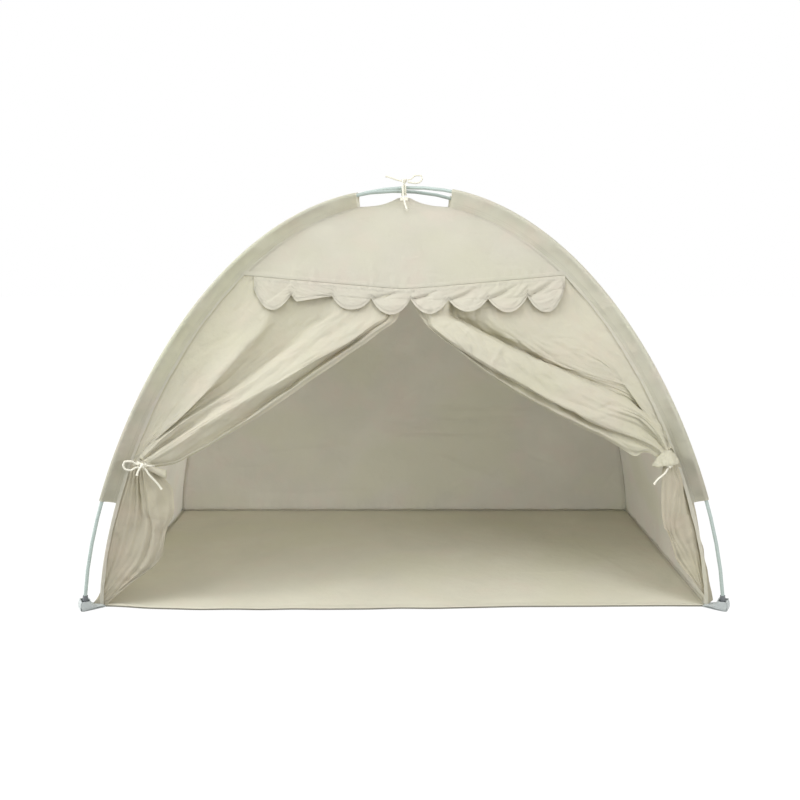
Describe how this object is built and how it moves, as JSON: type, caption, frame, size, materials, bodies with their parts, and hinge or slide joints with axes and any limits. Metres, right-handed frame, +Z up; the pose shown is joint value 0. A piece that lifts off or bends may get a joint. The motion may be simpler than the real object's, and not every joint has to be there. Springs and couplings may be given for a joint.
{
  "type": "kids play tent",
  "caption": "Children's dome play tent with crossed flexible poles in sleeves, cotton canopy, sewn floor, scalloped door valance and tied-back curtains.",
  "frame": {"origin": "on the ground, in the middle of the floor", "axes": "+Z up, the door faces -Y, +X to the right of someone who looks in at the door"},
  "size_m": [1.59, 0.9132, 1.0739],
  "materials": {
    "canopy_cotton": "undyed plain-weave cotton, matte",
    "floor_cotton": "undyed cotton canvas, matte",
    "valance_cotton": "undyed cotton, doubled, matte",
    "pole_coating": "pale grey-green resin-bound glass fibre, satin",
    "ferrule_steel": "drawn tube, satin",
    "tip_plastic": "moulded nylon, satin",
    "webbing": "folded white tape webbing",
    "tie_cotton": "soft round cotton cord",
    "elastic": "braided elastic cord"
  },
  "bodies": {
    "root": {"back_panel": "canopy_cotton", "crown_tie_down_tail": "tie_cotton", "crown_tie_knot": "tie_cotton", "crown_tie_loop": "tie_cotton", "crown_tie_tab": "canopy_cotton", "crown_tie_up_tail": "tie_cotton", "crown_tie_wrap": "tie_cotton", "floor_panel": "floor_cotton", "front_gable": "canopy_cotton", "front_left_pocket": "webbing", "front_left_sleeve": "canopy_cotton", "front_right_pocket": "webbing", "front_right_sleeve": "canopy_cotton", "left_curtain": "canopy_cotton", "left_side_panel": "canopy_cotton", "left_tie_knot": "tie_cotton", "left_tie_loop": "tie_cotton", "left_tie_short_tail": "tie_cotton", "left_tie_wrap": "tie_cotton", "lower_pole_ferrule_1": "ferrule_steel", "lower_pole_ferrule_2": "ferrule_steel", "lower_pole_ferrule_3": "ferrule_steel", "lower_pole_ferrule_4": "ferrule_steel", "lower_pole_front_tip": "tip_plastic", "lower_pole_rear_tip": "tip_plastic", "lower_pole_section_1": "pole_coating", "lower_pole_section_2": "pole_coating", "lower_pole_section_3": "pole_coating", "lower_pole_section_4": "pole_coating", "lower_pole_section_5": "pole_coating", "lower_pole_shock_cord": "elastic", "rear_left_pocket": "webbing", "rear_left_sleeve": "canopy_cotton", "rear_right_pocket": "webbing", "rear_right_sleeve": "canopy_cotton", "right_curtain": "canopy_cotton", "right_side_panel": "canopy_cotton", "right_tie_knot": "tie_cotton", "right_tie_wrap": "tie_cotton", "upper_pole_ferrule_1": "ferrule_steel", "upper_pole_ferrule_2": "ferrule_steel", "upper_pole_ferrule_3": "ferrule_steel", "upper_pole_ferrule_4": "ferrule_steel", "upper_pole_front_tip": "tip_plastic", "upper_pole_rear_tip": "tip_plastic", "upper_pole_section_1": "pole_coating", "upper_pole_section_2": "pole_coating", "upper_pole_section_3": "pole_coating", "upper_pole_section_4": "pole_coating", "upper_pole_section_5": "pole_coating", "upper_pole_shock_cord": "elastic"},
    "door_valance": {"door_valance": "valance_cotton"},
    "left_curtain_tail": {"left_curtain_tail": "canopy_cotton", "left_tie_long_tail": "tie_cotton"},
    "right_curtain_tail": {"right_curtain_tail": "canopy_cotton", "right_tie_tail": "tie_cotton"}
  },
  "joints": [
    {"name": "valance_lift", "type": "hinge", "parent": "root", "child": "door_valance", "pos_m": [0, -0.24273, 0.79391], "axis": [-1, 0, 0], "range_deg": [0, 120]},
    {"name": "left_curtain_tail_swing", "type": "hinge", "parent": "root", "child": "left_curtain_tail", "pos_m": [-0.728, -0.414, 0], "axis": [0.2609, 0.0858, 0.9616], "range_deg": [-35, 40]},
    {"name": "right_curtain_tail_swing", "type": "hinge", "parent": "root", "child": "right_curtain_tail", "pos_m": [0.728, -0.414, 0], "axis": [0.2328, -0.0864, -0.9687], "range_deg": [-35, 40]}
  ]
}
